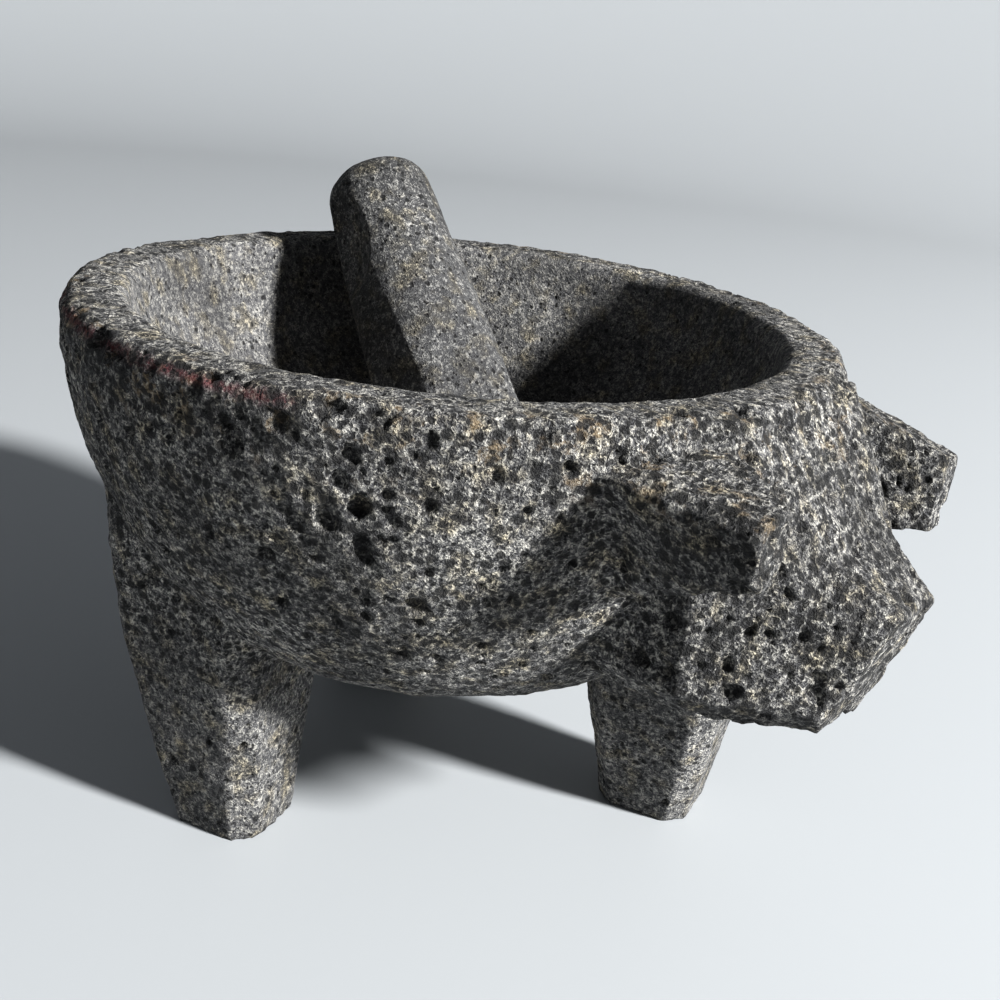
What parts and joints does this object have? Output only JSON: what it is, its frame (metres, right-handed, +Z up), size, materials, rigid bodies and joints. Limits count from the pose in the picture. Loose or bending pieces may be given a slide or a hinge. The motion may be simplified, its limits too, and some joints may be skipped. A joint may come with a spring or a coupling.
{
  "type": "molcajete",
  "caption": "Three-legged basalt mortar carved with a pig's head, with a loose tapered stone pestle leaning in its bowl.",
  "frame": {"origin": "on the bowl's axis, in the plane of the three feet", "axes": "+Z up along the bowl's axis, +X towards the pig's head, +Y towards its left ear"},
  "size_m": [0.2378, 0.2042, 0.1686],
  "materials": {
    "mortar_basalt": "vesicular basalt, chisel-dressed outside, finer dressed rim and bowl",
    "pestle_basalt": "fine-grained vesicular basalt, worn smooth by the hand"
  },
  "bodies": {
    "mortar": {"mortar": "mortar_basalt"},
    "pestle": {"pestle": "pestle_basalt"}
  },
  "joints": [
    {"name": "pestle_lift", "type": "slide", "parent": "mortar", "child": "pestle", "axis": [0, 0, 1], "range_m": [0, 0.15]}
  ]
}
